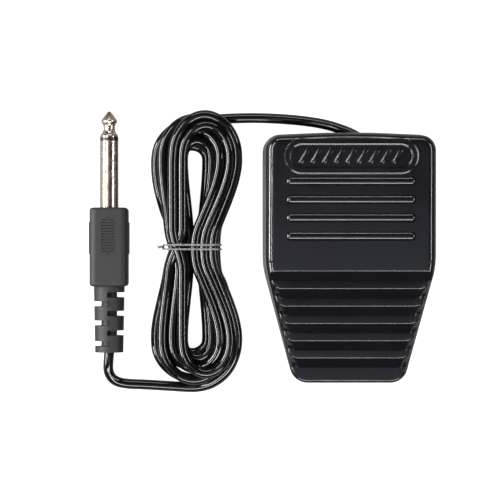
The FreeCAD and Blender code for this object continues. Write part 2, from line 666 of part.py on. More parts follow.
def clamp_screws():
    """Two screws down through the saddle."""
    top = CORD_EXIT_Z - CORD_RADIUS + 1.4
    screws = []
    for side in (-1.0, 1.0):
        x = CLAMP_X + side * CLAMP_SCREW_OFFSET
        screws.append(screw((x, 30.3, BASE_Z + 0.9), (x, 30.3, top), SCREW_RADIUS, SCREW_HEAD_RADIUS - 0.1,
                            1.3))
    return Part.makeCompound(screws)


# Microswitch ----------------------------------------------------------------------------------
def microswitch_case():
    """Snap-action switch body with the two ears that carry its lever."""
    case = box(-CASE_HALF_LENGTH, CASE_HALF_LENGTH, CASE_Y[0], CASE_Y[1], CASE_Z[0], CASE_Z[1])
    middle_y = sum(CASE_Y) / 2.0
    ears = []
    for y0, y1 in ((CASE_Y[0], CASE_Y[0] + 0.8), (CASE_Y[1] - 0.8, CASE_Y[1])):
        ears.append(box(LEVER_PIVOT_X - 1.0, LEVER_PIVOT_X + 1.0, y0, y1, CASE_Z[1] - 0.2,
                        LEVER_PIVOT_Z + 0.7))
    case = joined([case] + ears)
    for side in (-1.0, 1.0):
        x = side * CASE_SCREW_X
        case = case.cut(rod(SCREW_RADIUS, (x, 0, CASE_SCREW_Z), (x, 20, CASE_SCREW_Z)))
    pivot = (LEVER_PIVOT_X, LEVER_PIVOT_Z)
    case = case.cut(rod(LEVER_PIN_RADIUS, (pivot[0], 0, pivot[1]), (pivot[0], 20, pivot[1])))
    bore_top = CASE_Z[1] + 1.0
    case = case.cut(rod(PLUNGER_RADIUS + 0.05, (PLUNGER_X, middle_y, CASE_Z[1] - 3.0),
                        (PLUNGER_X, middle_y, bore_top)))
    return case


def microswitch_pin():
    """Fine steel pin of the switch lever."""
    return rod(LEVER_PIN_RADIUS, (LEVER_PIVOT_X, CASE_Y[0], LEVER_PIVOT_Z),
               (LEVER_PIVOT_X, CASE_Y[1], LEVER_PIVOT_Z))


def microswitch_lever():
    """Spring-steel lever with a rolled eye, resting just above the plunger."""
    y0 = CASE_Y[0] + 1.0
    y1 = CASE_Y[1] - 1.0
    blade = box(0.0, LEVER_LENGTH, y0, y1, -LEVER_THICKNESS / 2.0, LEVER_THICKNESS / 2.0)
    eye = rod(LEVER_BARREL_RADIUS, (0, y0, 0), (0, y1, 0))
    lever = joined([blade, eye])
    lever = lever.cut(rod(LEVER_PIN_RADIUS + 0.05, (0, y0 - 1, 0), (0, y1 + 1, 0)))
    lever.rotate(V(0, 0, 0), V(0, 1, 0), -math.degrees(LEVER_TILT))
    lever.translate(V(LEVER_PIVOT_X, 0, LEVER_PIVOT_Z))
    return lever


def microswitch_plunger():
    """Round push pin of the switch."""
    y = sum(CASE_Y) / 2.0
    pin = rod(PLUNGER_RADIUS, (PLUNGER_X, y, CASE_Z[1] - 2.0), (PLUNGER_X, y, PLUNGER_TOP_Z))
    top = [edge for edge in pin.Edges if edge.BoundBox.ZMin > PLUNGER_TOP_Z - 0.01]
    return pin.makeChamfer(0.3, top)


def microswitch_terminals():
    """Three solder tabs below the case."""
    y = sum(CASE_Y) / 2.0
    tabs = []
    for x in TERMINAL_XS:
        tabs.append(box(x - 1.2, x + 1.2, y - 0.25, y + 0.25, FLOOR_Z + 0.5, CASE_Z[0]))
    return Part.makeCompound(tabs)


def switch_screws():
    """Two long screws through the case and the bracket."""
    tip_y = CASE_Y[1] + BRACKET_THICKNESS + 2.2
    screws = []
    for side in (-1.0, 1.0):
        x = side * CASE_SCREW_X
        screws.append(screw((x, tip_y, CASE_SCREW_Z), (x, CASE_Y[0], CASE_SCREW_Z), SCREW_RADIUS,
                            SCREW_HEAD_RADIUS, 1.4))
    return Part.makeCompound(screws)


def switch_nuts():
    """Two hexagon nuts behind the bracket."""
    y = CASE_Y[1] + BRACKET_THICKNESS
    nuts = []
    for side in (-1.0, 1.0):
        x = side * CASE_SCREW_X
        corners = []
        for i in range(7):
            angle = math.radians(60.0 * i)
            corners.append(V(x + 2.3 * math.cos(angle), y, CASE_SCREW_Z + 2.3 * math.sin(angle)))
        nut = Part.Face(Part.makePolygon(corners)).extrude(V(0, 1.6, 0))
        nuts.append(nut.cut(rod(SCREW_RADIUS, (x, y - 1, CASE_SCREW_Z), (x, y + 3, CASE_SCREW_Z))))
    return Part.makeCompound(nuts)


def switch_wire(tab_x, end_x, name):
    """Insulated conductor from a solder tab to the end of the cord."""
    start_y = sum(CASE_Y) / 2.0 + 0.25
    route = [(tab_x, start_y, 5.0), (tab_x + 0.3, 15.5, 5.0), (end_x - 0.4, 20.5, 5.6), (end_x, 25.5, 7.4)]
    return tube_along(route, 0.6, name)


# Hank, tie and plug ---------------------------------------------------------------------------
def cord_hank():
    """Outer shape of the folded cord: two lobes joined by a pinched waist with the tie's groove."""
    lobes = []
    for side in (-1.0, 1.0):
        centre = V(HANK_X, HANK_Y + side * HANK_LOBE_OFFSET, 0)
        ellipse = Part.Ellipse(centre, HANK_LOBE[1], HANK_LOBE[0])
        wire = Part.Wire(ellipse.toShape())
        wire.rotate(centre, V(0, 0, 1), 90)
        lobe = prism(wire, HANK_HEIGHT)
        upper = [edge for edge in lobe.Edges if edge.BoundBox.ZMin > HANK_HEIGHT - 0.01]
        lobes.append(lobe.makeFillet(HANK_EDGE, upper))
    shoulder = HANK_SHOULDER_Y
    waist = Part.makePolygon([
        V(HANK_X - HANK_SHOULDER_HALF, HANK_Y - shoulder, 0), V(HANK_X + HANK_SHOULDER_HALF,
                                                                HANK_Y - shoulder, 0),
        V(HANK_WAIST_X + HANK_WAIST_HALF, HANK_Y, 0),
        V(HANK_X + HANK_SHOULDER_HALF, HANK_Y + shoulder, 0), V(HANK_X - HANK_SHOULDER_HALF,
                                                                HANK_Y + shoulder, 0),
        V(HANK_WAIST_X - HANK_WAIST_HALF, HANK_Y, 0),
        V(HANK_X - HANK_SHOULDER_HALF, HANK_Y - shoulder, 0),
    ])
    hank = joined(lobes + [Part.Face(waist).extrude(V(0, 0, HANK_HEIGHT - 0.3))])
    half, low, high = tie_frame()
    band = 2.0 * TIE_TURN_PITCH + 1.4
    sheath = box(HANK_WAIST_X - 20, HANK_WAIST_X + 20, TIE_Y - band / 2, TIE_Y + band / 2, -1, 20)
    margin = TIE_WIRE_RADIUS
    core = box(HANK_WAIST_X - half + margin, HANK_WAIST_X + half - margin, TIE_Y - band, TIE_Y + band,
               low + margin, high - margin)
    return hank.cut(sheath.cut(core))


def tie_frame():
    """Half width, low and high height of the tie's centre line round the waist."""
    return HANK_WAIST_HALF - 0.2, TIE_WIRE_RADIUS, HANK_HEIGHT - 0.2


def hank_tie():
    """Two turns of thin tie wire round the waist, twisted together at the left."""
    half, low, high = tie_frame()
    r = TIE_CORNER
    turns = []
    for offset in (-TIE_TURN_PITCH / 2.0, TIE_TURN_PITCH / 2.0):
        flat = rounded_polygon([(-half, low, r), (half, low, r), (half, high, r), (-half, high, r)], 0.0)
        flat.rotate(V(0, 0, 0), V(1, 0, 0), 90)
        flat.translate(V(HANK_WAIST_X, TIE_Y + offset, 0))
        straight = [edge for edge in flat.Edges if abs(edge.CenterOfMass.z - low) < 0.01][0]
        start = straight.valueAt(straight.FirstParameter)
        section = Part.Wire(Part.Circle(start, V(1, 0, 0), TIE_WIRE_RADIUS).toShape())
        ordered = Part.Wire(Part.__sortEdges__([straight] + [e for e in flat.Edges
                                                             if not e.isSame(straight)]))
        turns.append(ordered.makePipeShell([section], True, False))
    left = HANK_WAIST_X - half
    knot_z = high / 2.0 + 1.2
    knot = rod(TIE_WIRE_RADIUS * 1.9, (left - 0.3, TIE_Y, knot_z), (left - 1.9, TIE_Y + 0.3, knot_z + 0.3))
    bridge = box(left - 0.4, left + 0.3, TIE_Y - TIE_TURN_PITCH / 2, TIE_Y + TIE_TURN_PITCH / 2,
                 knot_z - 0.7, knot_z + 0.7)
    return joined(turns + [bridge, knot])


def turned(profile):
    """Solid of revolution about the plug's axis from (distance behind the tip, radius) edges."""
    face = Part.Face(Part.Wire(Part.__sortEdges__(profile)))
    return face.revolve(V(PLUG_X, 0, PLUG_Z), V(0, 1, 0), 360)


def plug_point(distance, radius):
    """Point of a turned profile, distance behind the plug's tip."""
    return V(PLUG_X + radius, PLUG_TIP_Y - distance, PLUG_Z)


def plug_tip():
    """Tip contact: rounded nose, waist, flare and the rod that carries it."""
    nose = Part.Arc(plug_point(0, 0.45), plug_point(1.6, 1.75), plug_point(3.1, 2.75)).toShape()
    brow = Part.Arc(plug_point(3.1, 2.75), plug_point(3.75, 2.72), plug_point(4.3, 2.3)).toShape()
    waist = Part.Arc(plug_point(4.3, 2.3), plug_point(6.2, 2.0),
                     plug_point(8.1, BARREL_RADIUS - 0.15)).toShape()
    corners = [(8.1, BARREL_RADIUS - 0.15), (FLARE_START, BARREL_RADIUS), (TIP_LENGTH, BARREL_RADIUS),
               (TIP_LENGTH, 0), (0, 0), (0, 0.45)]
    lines = []
    for a, b in zip(corners[:-1], corners[1:]):
        lines.append(Part.LineSegment(plug_point(*a), plug_point(*b)).toShape())
    head = turned([nose, brow, waist] + lines)
    rod_end = PLUG_SHOULDER_Y - SLEEVE_DEPTH
    carrier = rod(TIP_ROD_RADIUS, (PLUG_X, PLUG_TIP_Y - 8.0, PLUG_Z), (PLUG_X, rod_end, PLUG_Z))
    return joined([head, carrier])


def plug_insulator():
    """Black ring between tip and sleeve, with its tube round the tip's rod."""
    ring = rod(BARREL_RADIUS, (PLUG_X, PLUG_TIP_Y - TIP_LENGTH, PLUG_Z),
               (PLUG_X, PLUG_TIP_Y - INSULATOR_END, PLUG_Z))
    end = PLUG_SHOULDER_Y - SLEEVE_DEPTH
    liner = rod(INSULATOR_TUBE_RADIUS, (PLUG_X, PLUG_TIP_Y - INSULATOR_END + 0.2, PLUG_Z),
                (PLUG_X, end, PLUG_Z))
    bore = rod(TIP_ROD_RADIUS, (PLUG_X, PLUG_TIP_Y, PLUG_Z), (PLUG_X, end - 1, PLUG_Z))
    return joined([ring, liner]).cut(bore)


def plug_sleeve():
    """Ground contact: the barrel of the plug, with a thinner core in the grip."""
    end = PLUG_SHOULDER_Y - SLEEVE_DEPTH
    barrel = rod(BARREL_RADIUS, (PLUG_X, PLUG_TIP_Y - INSULATOR_END, PLUG_Z),
                 (PLUG_X, PLUG_SHOULDER_Y, PLUG_Z))
    core = rod(SLEEVE_CORE_RADIUS, (PLUG_X, PLUG_SHOULDER_Y + 0.5, PLUG_Z), (PLUG_X, end, PLUG_Z))
    return joined([barrel, core]).cut(rod(INSULATOR_TUBE_RADIUS, (PLUG_X, PLUG_TIP_Y, PLUG_Z),
                                          (PLUG_X, end - 1, PLUG_Z)))


def plug_handle():
    """Moulded grip with side pads and a ribbed oval on top and bottom."""
    length = PLUG_SHOULDER_Y - HANDLE_END_Y
    half = HANDLE_HALF
    r = HANDLE_CORNER
    section = rounded_polygon([(-half, -half, r), (half, -half, r), (half, half, r), (-half, half, r)], 0.0)
    body = prism(section, length)
    ends = []
    for edge in body.Edges:
        if edge.BoundBox.ZLength < 0.01:
            ends.append(edge)
    body = body.makeFillet(1.1, ends)
    body.rotate(V(0, 0, 0), V(1, 0, 0), -90)
    body.translate(V(PLUG_X, HANDLE_END_Y, PLUG_Z))
    pad = box(PLUG_X - PAD_HALF, PLUG_X + PAD_HALF, PAD_Y[0], PAD_Y[1], PLUG_Z - 4.2, PLUG_Z + 4.2)
    rims = [edge for edge in pad.Edges if edge.BoundBox.YLength > 5 or edge.BoundBox.ZLength > 5]
    body = joined([body, pad.makeFillet(0.28, rims)])
    for side in (-1.0, 1.0):
        body = body.cut(grip_oval(side))
        body = joined([body] + grip_ribs(side))
    depth_end = PLUG_SHOULDER_Y - SLEEVE_DEPTH
    socket = rod(SLEEVE_CORE_RADIUS, (PLUG_X, PLUG_SHOULDER_Y + 1, PLUG_Z), (PLUG_X, depth_end, PLUG_Z))
    return body.cut(socket)


def grip_oval(side):
    """Shallow oval pocket in the top or bottom face of the grip."""
    surface = PLUG_Z + side * HANDLE_HALF
    low, high = sorted((surface - side * GRIP_DEPTH, surface + side * 1.0))
    r = GRIP_HALF_WIDTH
    pocket = [box(PLUG_X - r, PLUG_X + r, GRIP_Y[0] + r, GRIP_Y[1] - r, low, high)]
    for y in (GRIP_Y[0] + r, GRIP_Y[1] - r):
        pocket.append(Part.makeCylinder(r, high - low, V(PLUG_X, y, low)))
    return joined(pocket)


def grip_ribs(side):
    """Cross ribs inside the oval pocket, flush with the grip's face."""
    surface = PLUG_Z + side * HANDLE_HALF
    low, high = sorted((surface - side * (GRIP_DEPTH + 0.3), surface))
    pitch = (GRIP_Y[1] - GRIP_Y[0]) / GRIP_RIB_COUNT
    ribs = []
    for i in range(GRIP_RIB_COUNT):
        y = GRIP_Y[0] + (i + 0.5) * pitch
        past_end = max(GRIP_Y[0] + GRIP_HALF_WIDTH - y, y - GRIP_Y[1] + GRIP_HALF_WIDTH, 0.0)
        half = math.sqrt(GRIP_HALF_WIDTH ** 2 - past_end ** 2) + 0.1
        ribs.append(box(PLUG_X - half, PLUG_X + half, y - pitch * 0.27, y + pitch * 0.27, low, high))
    return ribs


def plug_boot():
    """Tapered strain relief with staggered half slots."""
    length = HANDLE_END_Y - BOOT_END_Y
    boot = Part.makeCone(BOOT_RADII[0], BOOT_RADII[1], length, V(PLUG_X, HANDLE_END_Y, PLUG_Z), V(0, -1, 0))
    for slots, low, high in ((BOOT_SLOTS_RIGHT, -0.4, 8.0), (BOOT_SLOTS_LEFT, -8.0, 0.4)):
        for y in slots:
            start = (PLUG_X, y - BOOT_SLOT / 2.0, PLUG_Z)
            end = (PLUG_X, y + BOOT_SLOT / 2.0, PLUG_Z)
            ring = rod(7.0, start, end).cut(rod(BOOT_CORE_RADIUS, start, end))
            boot = boot.cut(ring.common(box(PLUG_X + low, PLUG_X + high, y - 5, y + 5, -5, 20)))
    return boot


def build():
    """Write every piece to its own file."""
    pieces = {
        "pedal_cover": pedal_cover(),
        "base_tray": base_tray(),
        "hinge_pin": hinge_pin(),
        "hinge_pin_clips": pin_clips(),
        "return_spring_left": return_spring(-1.0),
        "return_spring_right": return_spring(1.0),
        "stop_pads": stop_pads(),
        "microswitch_case": microswitch_case(),
        "microswitch_pin": microswitch_pin(),
        "microswitch_lever": microswitch_lever(),
        "microswitch_plunger": microswitch_plunger(),
        "microswitch_terminals": microswitch_terminals(),
        "switch_screws": switch_screws(),
        "switch_nuts": switch_nuts(),
        "switch_wire_signal": switch_wire(0.0, 4.6, "switch_wire_signal"),
        "switch_wire_ground": switch_wire(7.5, 6.6, "switch_wire_ground"),
        "cord_clamp": cord_clamp(),
        "clamp_screws": clamp_screws(),
        "cord_grommet": cord_grommet(),
        "cord_tail_pedal": tube_along(PEDAL_TAIL, CORD_RADIUS, "cord_tail_pedal"),
        "cord_hank": cord_hank(),
        "hank_tie": hank_tie(),
        "cord_tail_plug": tube_along(PLUG_TAIL, CORD_RADIUS, "cord_tail_plug"),
        "plug_tip": plug_tip(),
        "plug_insulator": plug_insulator(),
        "plug_sleeve": plug_sleeve(),
        "plug_handle": plug_handle(),
        "plug_boot": plug_boot(),
    }
    names = ("heel_left", "heel_right", "toe_left", "toe_right")
    for name, foot in zip(names, rubber_feet()):
        pieces["rubber_foot_" + name] = foot
    for name, shape in pieces.items():
        print(name, "valid", shape.isValid(), "solids", len(shape.Solids), "volume", round(shape.Volume, 1))
        shape.exportStep("parts/" + name + ".step")


build()
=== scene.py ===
"""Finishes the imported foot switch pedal: shells, cord, tie, plug, materials and a studio stage."""

import json
import math

import bmesh
import bpy
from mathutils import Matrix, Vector

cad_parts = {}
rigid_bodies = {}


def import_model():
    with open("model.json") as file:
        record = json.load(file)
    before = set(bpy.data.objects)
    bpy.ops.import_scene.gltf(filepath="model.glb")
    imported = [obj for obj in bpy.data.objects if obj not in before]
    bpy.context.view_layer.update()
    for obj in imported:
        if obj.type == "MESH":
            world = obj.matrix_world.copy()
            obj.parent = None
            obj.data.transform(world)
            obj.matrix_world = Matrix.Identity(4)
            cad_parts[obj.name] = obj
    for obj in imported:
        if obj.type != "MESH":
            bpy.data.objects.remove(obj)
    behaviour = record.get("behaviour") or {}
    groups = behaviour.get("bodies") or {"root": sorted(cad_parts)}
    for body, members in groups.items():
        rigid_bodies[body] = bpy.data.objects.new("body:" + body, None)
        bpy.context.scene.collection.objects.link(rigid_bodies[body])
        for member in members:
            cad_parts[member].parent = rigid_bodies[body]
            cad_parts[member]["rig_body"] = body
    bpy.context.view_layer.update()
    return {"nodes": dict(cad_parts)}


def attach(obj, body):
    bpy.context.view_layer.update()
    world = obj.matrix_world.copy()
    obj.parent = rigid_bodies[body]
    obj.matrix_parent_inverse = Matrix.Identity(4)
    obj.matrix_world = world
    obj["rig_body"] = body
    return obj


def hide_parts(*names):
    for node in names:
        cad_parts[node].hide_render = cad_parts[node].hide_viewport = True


bl_info = {
    "name": "Foot Switch Pedal",
    "version": (1, 0, 0),
    "blender": (4, 5, 0),
    "location": "View3D > Sidebar > Pedal",
    "description": "Builds the finished pieces of a foot switch pedal round its frame",
    "category": "Object",
}

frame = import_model()
MM = 0.001


# Nodes and materials --------------------------------------------------------------------------
def linear(hex_colour):
    """Linear RGBA from an sRGB hex colour."""
    channels = [int(hex_colour[i:i + 2], 16) / 255.0 for i in (1, 3, 5)]
    curved = [c / 12.92 if c <= 0.04045 else ((c + 0.055) / 1.055) ** 2.4 for c in channels]
    return (*curved, 1.0)


def add_node(tree, kind, settings=None, links=None):
    """Add a node, set its sockets or properties, and link outputs to its inputs."""
    node = tree.nodes.new(kind)
    for key, value in (settings or {}).items():
        if key in node.inputs:
            node.inputs[key].default_value = value
        else:
            setattr(node, key, value)
    for key, source in (links or {}).items():
        tree.links.new(source, node.inputs[key])
    return node


def new_material(name, colour, roughness, **sockets):
    """A material with one shader; returns the material, its tree and its shader."""
    material = bpy.data.materials.new(name)
    material.use_nodes = True
    tree = material.node_tree
    shader = tree.nodes["Principled BSDF"]
    shader.inputs["Base Color"].default_value = linear(colour)
    shader.inputs["Roughness"].default_value = roughness
    for key, value in sockets.items():
        shader.inputs[key.replace("_", " ")].default_value = value
    material.diffuse_color = linear(colour)
    return material, tree, shader


# A wave texture at this scale repeats once in each unit of length.
WAVE_SCALE_FOR_1 = 0.314


def noise_at(tree, size_mm, detail=2.0):
    """Noise whose grains are size_mm across, in the piece's own coordinates."""
    place = add_node(tree, "ShaderNodeTexCoord")
    return add_node(tree, "ShaderNodeTexNoise", {"Scale": 1.0 / (size_mm * MM), "Detail": detail},
                    {"Vector": place.outputs["Object"]})


def vary(tree, shader, socket, factor, low, high):
    """Drive a shader socket between two numbers by a factor."""
    spread = {"To Min": low, "To Max": high, "From Min": 0.3, "From Max": 0.7}
    ramp = add_node(tree, "ShaderNodeMapRange", spread, {"Value": factor})
    tree.links.new(ramp.outputs["Result"], shader.inputs[socket])


def tint(tree, shader, factor, dark, light):
    """Blend the shader's colour between two hex colours by a factor."""
    ramp = add_node(tree, "ShaderNodeValToRGB", {}, {"Fac": factor})
    ramp.color_ramp.elements[0].position = 0.35
    ramp.color_ramp.elements[1].position = 0.65
    ramp.color_ramp.elements[0].color = linear(dark)
    ramp.color_ramp.elements[1].color = linear(light)
    tree.links.new(ramp.outputs["Color"], shader.inputs["Base Color"])


def relief(tree, shader, height, depth_mm, strength):
    """Bump of a given depth from a height."""
    bump = add_node(tree, "ShaderNodeBump", {"Strength": strength, "Distance": depth_mm * MM},
                    {"Height": height})
    tree.links.new(bump.outputs["Normal"], shader.inputs["Normal"])


def polished_abs():
    """Injection-moulded ABS from a polished tool: deep black, sharp soft-edged reflections."""
    material, tree, shader = new_material("polished_abs", "#0b0b0e", 0.18, IOR=1.53)
    # A polished tool still leaves a faint waviness, which breaks up long highlights.
    wave = noise_at(tree, 6.0, 1.0)
    relief(tree, shader, wave.outputs["Fac"], 0.02, 0.25)
    # Handling leaves slightly duller patches.
    patches = noise_at(tree, 14.0, 3.0)
    vary(tree, shader, "Roughness", patches.outputs["Fac"], 0.15, 0.22)
    return material


def satin_abs():
    """Moulded ABS from an etched tool: charcoal black with a fine even grain."""
    material, tree, shader = new_material("satin_abs", "#1b1b1c", 0.5, IOR=1.53)
    grain = noise_at(tree, 0.35)
    relief(tree, shader, grain.outputs["Fac"], 0.03, 0.5)
    vary(tree, shader, "Roughness", grain.outputs["Fac"], 0.42, 0.58)
    return material


def nitrile_rubber():
    """Moulded nitrile rubber: matt black with a faint dusty bloom."""
    material, tree, shader = new_material("nitrile_rubber", "#161616", 0.85, IOR=1.52)
    bloom = noise_at(tree, 1.6, 4.0)
    tint(tree, shader, bloom.outputs["Fac"], "#141414", "#232321")
    relief(tree, shader, bloom.outputs["Fac"], 0.03, 0.35)
    return material


def zinc_steel():
    """Zinc-plated steel: bright grey with drawn lines a little rougher than chrome."""
    material, tree, shader = new_material("zinc_steel", "#b4b5b8", 0.3, Metallic=1.0)
    streaks = noise_at(tree, 0.5, 3.0)
    vary(tree, shader, "Roughness", streaks.outputs["Fac"], 0.24, 0.4)
    relief(tree, shader, streaks.outputs["Fac"], 0.008, 0.3)
    return material


def spring_wire():
    """Hard-drawn spring wire: cooler and darker than plated steel, with an oiled look."""
    material, tree, shader = new_material("spring_wire", "#8d8f94", 0.25, Metallic=1.0)
    oil = noise_at(tree, 1.2, 2.0)
    vary(tree, shader, "Roughness", oil.outputs["Fac"], 0.18, 0.34)
    return material


def phenolic_case():
    """Glass-filled phenolic switch case: dark brown-black with a faint fleck."""
    material, tree, shader = new_material("phenolic_case", "#221d1a", 0.45, IOR=1.6)
    fleck = noise_at(tree, 0.5, 5.0)
    tint(tree, shader, fleck.outputs["Fac"], "#1c1815", "#2c2622")
    relief(tree, shader, fleck.outputs["Fac"], 0.01, 0.3)
    return material


def red_acetal():
    """Red acetal push pin: waxy, with a soft highlight."""
    material, tree, shader = new_material("red_acetal", "#a3201a", 0.4, IOR=1.48)
    shader.inputs["Subsurface Weight"].default_value = 0.1
    cloud = noise_at(tree, 0.8)
    vary(tree, shader, "Roughness", cloud.outputs["Fac"], 0.34, 0.46)
    return material


def tinned_brass():
    """Tinned brass solder tab: pale yellow metal, slightly dull."""
    material, tree, shader = new_material("tinned_brass", "#cdbf93", 0.35, Metallic=1.0)
    stain = noise_at(tree, 1.0, 3.0)
    tint(tree, shader, stain.outputs["Fac"], "#bfae7e", "#d6cba6")
    return material


def white_pvc():
    """White PVC insulation of a thin conductor: soft satin."""
    material, tree, shader = new_material("white_pvc", "#d8d6cf", 0.45, IOR=1.53)
    cloud = noise_at(tree, 2.0)
    vary(tree, shader, "Roughness", cloud.outputs["Fac"], 0.4, 0.5)
    return material


def cord_jacket():
    """Extruded black PVC jacket: wet-looking gloss, with faint ripples along the cord."""
    material, tree, shader = new_material("cord_jacket", "#070708", 0.12, IOR=1.53)
    ripple = noise_at(tree, 4.0, 2.0)
    relief(tree, shader, ripple.outputs["Fac"], 0.006, 0.12)
    vary(tree, shader, "Roughness", ripple.outputs["Fac"], 0.09, 0.15)
    return material


def clear_tie_jacket():
    """Clear grey PVC over tie wire: slightly translucent, with a soft shine."""
    material, tree, shader = new_material("clear_tie_jacket", "#7d8084", 0.28, IOR=1.52)
    shader.inputs["Transmission Weight"].default_value = 0.35
    cloud = noise_at(tree, 0.7)
    tint(tree, shader, cloud.outputs["Fac"], "#606265", "#a4a6a8")
    return material


def polished_nickel():
    """Nickel plate over turned brass: warm, slightly blurred reflections with fine turning rings."""
    material, tree, shader = new_material("polished_nickel", "#b3a698", 0.26, Metallic=1.0)
    place = add_node(tree, "ShaderNodeTexCoord")
    # Turning rings are spaced 0.25 mm along the plug, coarser than real ones so that they show.
    rings = add_node(tree, "ShaderNodeTexWave",
                     {"wave_type": "BANDS", "bands_direction": "Y", "Distortion": 1.5,
                      "Scale": WAVE_SCALE_FOR_1 / (0.25 * MM)},
                     {"Vector": place.outputs["Object"]})
    relief(tree, shader, rings.outputs["Fac"], 0.004, 0.25)
    smear = noise_at(tree, 3.0, 2.0)
    vary(tree, shader, "Roughness", smear.outputs["Fac"], 0.2, 0.32)
    return material


def insulator_nylon():
    """Black nylon ring: plain, slightly glossy."""
    material, tree, shader = new_material("insulator_nylon", "#101010", 0.3, IOR=1.53)
    cloud = noise_at(tree, 1.0)
    vary(tree, shader, "Roughness", cloud.outputs["Fac"], 0.26, 0.36)
    return material


def textured_pvc():
    """Overmoulded PVC from a spark-eroded tool: warm black, matt, with an even pebble grain."""
    material, tree, shader = new_material("textured_pvc", "#0e0d0c", 0.55, IOR=1.53)
    pebble = noise_at(tree, 0.45, 3.0)
    tint(tree, shader, pebble.outputs["Fac"], "#070707", "#141312")
    relief(tree, shader, pebble.outputs["Fac"], 0.06, 0.6)
    vary(tree, shader, "Roughness", pebble.outputs["Fac"], 0.5, 0.7)
    return material


def white_sweep():
    """Opal acrylic light table: matt white, glowing evenly so that shadows are faint."""
    material, tree, shader = new_material("white_sweep", "#8c8c8c", 0.9)
    shader.inputs["Emission Color"].default_value = linear("#ffffff")
    # It looks white from above, but glows only faintly into the pieces, whose lower sides stay dark.
    seen = add_node(tree, "ShaderNodeLightPath")
    glow = add_node(tree, "ShaderNodeMapRange", {"To Min": 0.04, "To Max": 0.95},
                    {"Value": seen.outputs["Is Camera Ray"]})
    tree.links.new(glow.outputs["Result"], shader.inputs["Emission Strength"])
    fibre = noise_at(tree, 3.0, 4.0)
    vary(tree, shader, "Roughness", fibre.outputs["Fac"], 0.85, 0.95)
    return material


MATERIALS = {}


def finish_of(maker):
    """One shared material from each maker function."""
    if maker.__name__ not in MATERIALS:
        MATERIALS[maker.__name__] = maker()
    return MATERIALS[maker.__name__]


# Shapes ---------------------------------------------------------------------------------------
# The part of the plateau that holds the badge, and how sharply its edges turn, in radians.
BADGE_FRONT_Y = 27.5
BADGE_BACK_Y = 40.6
BADGE_LOW_Z = 25.2
BADGE_EDGE_TURN = 1.2
# Points this close are one point in the frame's loose triangles.
MERGE_DISTANCE = 0.002


def new_piece(name, mesh_source, maker):
    """Object from a bmesh, linked to the scene, with its material."""
    mesh = bpy.data.meshes.new(name)
    mesh_source.to_mesh(mesh)
    mesh_source.free()
    piece = bpy.data.objects.new(name, mesh)
    bpy.context.scene.collection.objects.link(piece)
    mesh.materials.append(finish_of(maker))
    return piece


def smooth_by_angle(source, degrees):
    """Smooth shading of a bmesh that keeps edges sharper than the angle."""
    source.normal_update()
    for face in source.faces:
        face.smooth = True
    for edge in source.edges:
        edge.smooth = edge.calc_face_angle(0.0) < math.radians(degrees)


def soften_badge(source, edge_mm):
    """Round the edges of the badge's frame and marks, as their upright walls don't show from above."""
    steep = []
    for edge in source.edges:
        ys = [vert.co.y for vert in edge.verts]
        low_z = min(vert.co.z for vert in edge.verts)
        in_badge = min(ys) > BADGE_FRONT_Y * MM and max(ys) < BADGE_BACK_Y * MM and low_z > BADGE_LOW_Z * MM
        if in_badge and edge.calc_face_angle(0.0) > BADGE_EDGE_TURN:
            steep.append(edge)
    bmesh.ops.bevel(source, geom=steep, affect="EDGES", offset=edge_mm * MM, segments=2, profile=0.5,
                    material=-1, clamp_overlap=True)


def rounded_copy(node, maker, edge_mm, segments=3, angle=28.0, badge_mm=0.0):
    """A merged copy of a frame node with its sharp edges rounded, standing for the node."""
    source = bmesh.new()
    source.from_mesh(frame["nodes"][node].data)
    bmesh.ops.remove_doubles(source, verts=source.verts, dist=MERGE_DISTANCE * MM)
    if badge_mm:
        soften_badge(source, badge_mm)
    smooth_by_angle(source, angle)
    piece = new_piece(node + "_finished", source, maker)
    if edge_mm:
        bevel = piece.modifiers.new("rounded_edges", "BEVEL")
        bevel.width = edge_mm * MM
        bevel.segments = segments
        bevel.limit_method = "ANGLE"
        bevel.angle_limit = math.radians(angle)
        bevel.miter_outer = "MITER_ARC"
    # Large flat faces keep their own normals, so the small roundings beside them shade cleanly.
    weighted = piece.modifiers.new("flat_faces_flat", "WEIGHTED_NORMAL")
    weighted.weight = 50
    weighted.keep_sharp = True
    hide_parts(node)
    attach(piece, frame["nodes"][node]["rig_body"])
    return piece


def coat_node(node, maker):
    """Give a frame node its finish."""
    target = frame["nodes"][node]
    target.data.materials.clear()
    target.data.materials.append(finish_of(maker))


# Cord route -----------------------------------------------------------------------------------
PEDAL_TAIL = [
    (5.6, 25.6, 7.4), (5.3, 32.6, 7.4), (4.9, 38.0, 7.4), (3.9, 40.7, 7.3), (1.6, 42.3, 7.1),
    (-2.2, 43.9, 6.5), (-7.6, 45.8, 5.0), (-15.4, 47.2, 3.1), (-25.5, 48.1, 1.95),
    (-36.5, 48.3, 1.75), (-44.0, 47.9, 1.75),
]
PLUG_TAIL = [
    (-55.0, -45.1, 1.75), (-62.5, -44.6, 1.75), (-70.5, -44.1, 1.85), (-76.8, -43.9, 2.3),
    (-80.8, -42.9, 3.2), (-82.8, -40.3, 4.5), (-83.0, -37.0, 5.8), (-82.5, -32.7, 6.5),
]
HANK_Y = 2.7
TIE_Y = 3.5
TIE_PITCH = 1.5
CAP_START = 31.0
CAP_SWELL = 1.045
CAP_ANGLES = (24.0, 52.0, 78.0, 102.0, 128.0, 156.0)
# How far a strand has spread from the waist to its lobe, at distances from the middle of the hank.
RIGHT_SPREAD = ((4.5, 0.10), (11.0, 0.38), (18.0, 0.69), (24.5, 0.92), (30.5, 1.02))
LEFT_SPREAD = ((4.5, 0.04), (11.0, 0.24), (18.0, 0.58), (24.5, 0.88), (30.5, 1.01))
